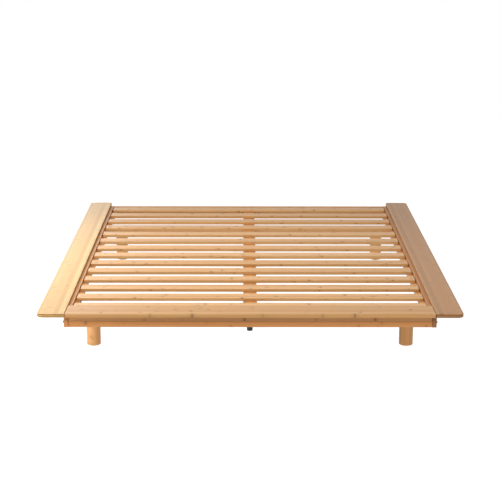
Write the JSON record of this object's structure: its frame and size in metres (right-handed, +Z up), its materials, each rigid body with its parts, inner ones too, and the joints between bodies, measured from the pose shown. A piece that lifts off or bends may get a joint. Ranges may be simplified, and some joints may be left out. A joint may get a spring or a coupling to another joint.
{
  "type": "bed frame",
  "caption": "Low queen-size bamboo platform bed frame with a wide ledge along the foot and both sides, slats, round inset legs and adjustable centre supports.",
  "frame": {"origin": "centre of the bed's outline, on the floor", "axes": "+X across the bed to the right seen from the foot end, +Y from the foot end to the head end, +Z up"},
  "size_m": [1.772, 2.16, 0.24],
  "materials": {
    "bamboo": "satin clear lacquer over laminated bamboo strips",
    "slat_bamboo": "plain sanded bamboo",
    "black_steel": "black powder coat",
    "zinc_steel": "bright zinc plate",
    "black_plastic": "fine-textured black plastic",
    "felt": "pressed felt"
  },
  "bodies": {
    "frame": {"foot_ledge": "bamboo", "side_ledge_left": "bamboo", "side_ledge_right": "bamboo", "side_rail_left": "bamboo", "side_rail_right": "bamboo", "foot_rail": "bamboo", "head_rail": "bamboo", "centre_beam": "bamboo", "leg_beam_front": "bamboo", "leg_beam_rear": "bamboo", "leg_front_left": "bamboo", "leg_front_right": "bamboo", "leg_rear_left": "bamboo", "leg_rear_right": "bamboo", "slat_01": "slat_bamboo", "slat_02": "slat_bamboo", "slat_03": "slat_bamboo", "slat_04": "slat_bamboo", "slat_05": "slat_bamboo", "slat_06": "slat_bamboo", "slat_07": "slat_bamboo", "slat_08": "slat_bamboo", "slat_09": "slat_bamboo", "slat_10": "slat_bamboo", "slat_11": "slat_bamboo", "slat_12": "slat_bamboo", "slat_13": "slat_bamboo", "slat_14": "slat_bamboo", "ledge_batten": "slat_bamboo", "slat_cleat_left": "slat_bamboo", "slat_cleat_right": "slat_bamboo", "corner_dowels": "slat_bamboo", "ledge_brackets_left": "black_steel", "ledge_brackets_right": "black_steel", "corner_bolts": "black_steel", "beam_hangers": "black_steel", "centre_leg_front": "black_steel", "centre_leg_middle": "black_steel", "centre_leg_rear": "black_steel", "leg_hanger_bolts": "zinc_steel", "leg_tee_nuts": "zinc_steel", "bracket_screws": "zinc_steel", "barrel_nuts": "zinc_steel", "leg_beam_screws": "zinc_steel", "cleat_screws": "zinc_steel", "slat_screws": "zinc_steel", "foot_ledge_screws": "zinc_steel", "hanger_screws": "zinc_steel", "centre_leg_screws": "zinc_steel", "levelling_nuts": "zinc_steel", "leg_glides": "felt"},
    "levelling_pad_front": {"levelling_pad_front": "black_plastic"},
    "levelling_stem_front": {"levelling_stem_front": "zinc_steel"},
    "levelling_pad_middle": {"levelling_pad_middle": "black_plastic"},
    "levelling_stem_middle": {"levelling_stem_middle": "zinc_steel"},
    "levelling_pad_rear": {"levelling_pad_rear": "black_plastic"},
    "levelling_stem_rear": {"levelling_stem_rear": "zinc_steel"}
  },
  "joints": [
    {"name": "pad_lift_front", "type": "slide", "parent": "frame", "child": "levelling_pad_front", "axis": [0, 0, 1], "range_m": [-0.01, 0.01]},
    {"name": "stem_turn_front", "type": "hinge", "parent": "levelling_pad_front", "child": "levelling_stem_front", "pos_m": [0, -0.54, 0.04], "axis": [0, 0, 1], "range_deg": [-2880, 2880]},
    {"name": "pad_lift_middle", "type": "slide", "parent": "frame", "child": "levelling_pad_middle", "axis": [0, 0, 1], "range_m": [-0.01, 0.01]},
    {"name": "stem_turn_middle", "type": "hinge", "parent": "levelling_pad_middle", "child": "levelling_stem_middle", "pos_m": [0, 0, 0.04], "axis": [0, 0, 1], "range_deg": [-2880, 2880]},
    {"name": "pad_lift_rear", "type": "slide", "parent": "frame", "child": "levelling_pad_rear", "axis": [0, 0, 1], "range_m": [-0.01, 0.01]},
    {"name": "stem_turn_rear", "type": "hinge", "parent": "levelling_pad_rear", "child": "levelling_stem_rear", "pos_m": [0, 0.54, 0.04], "axis": [0, 0, 1], "range_deg": [-2880, 2880]}
  ],
  "couplings": [
    {"joint": "stem_turn_front", "follows": "pad_lift_front", "rad_per_m": 5026.5},
    {"joint": "stem_turn_middle", "follows": "pad_lift_middle", "rad_per_m": 5026.5},
    {"joint": "stem_turn_rear", "follows": "pad_lift_rear", "rad_per_m": 5026.5}
  ]
}
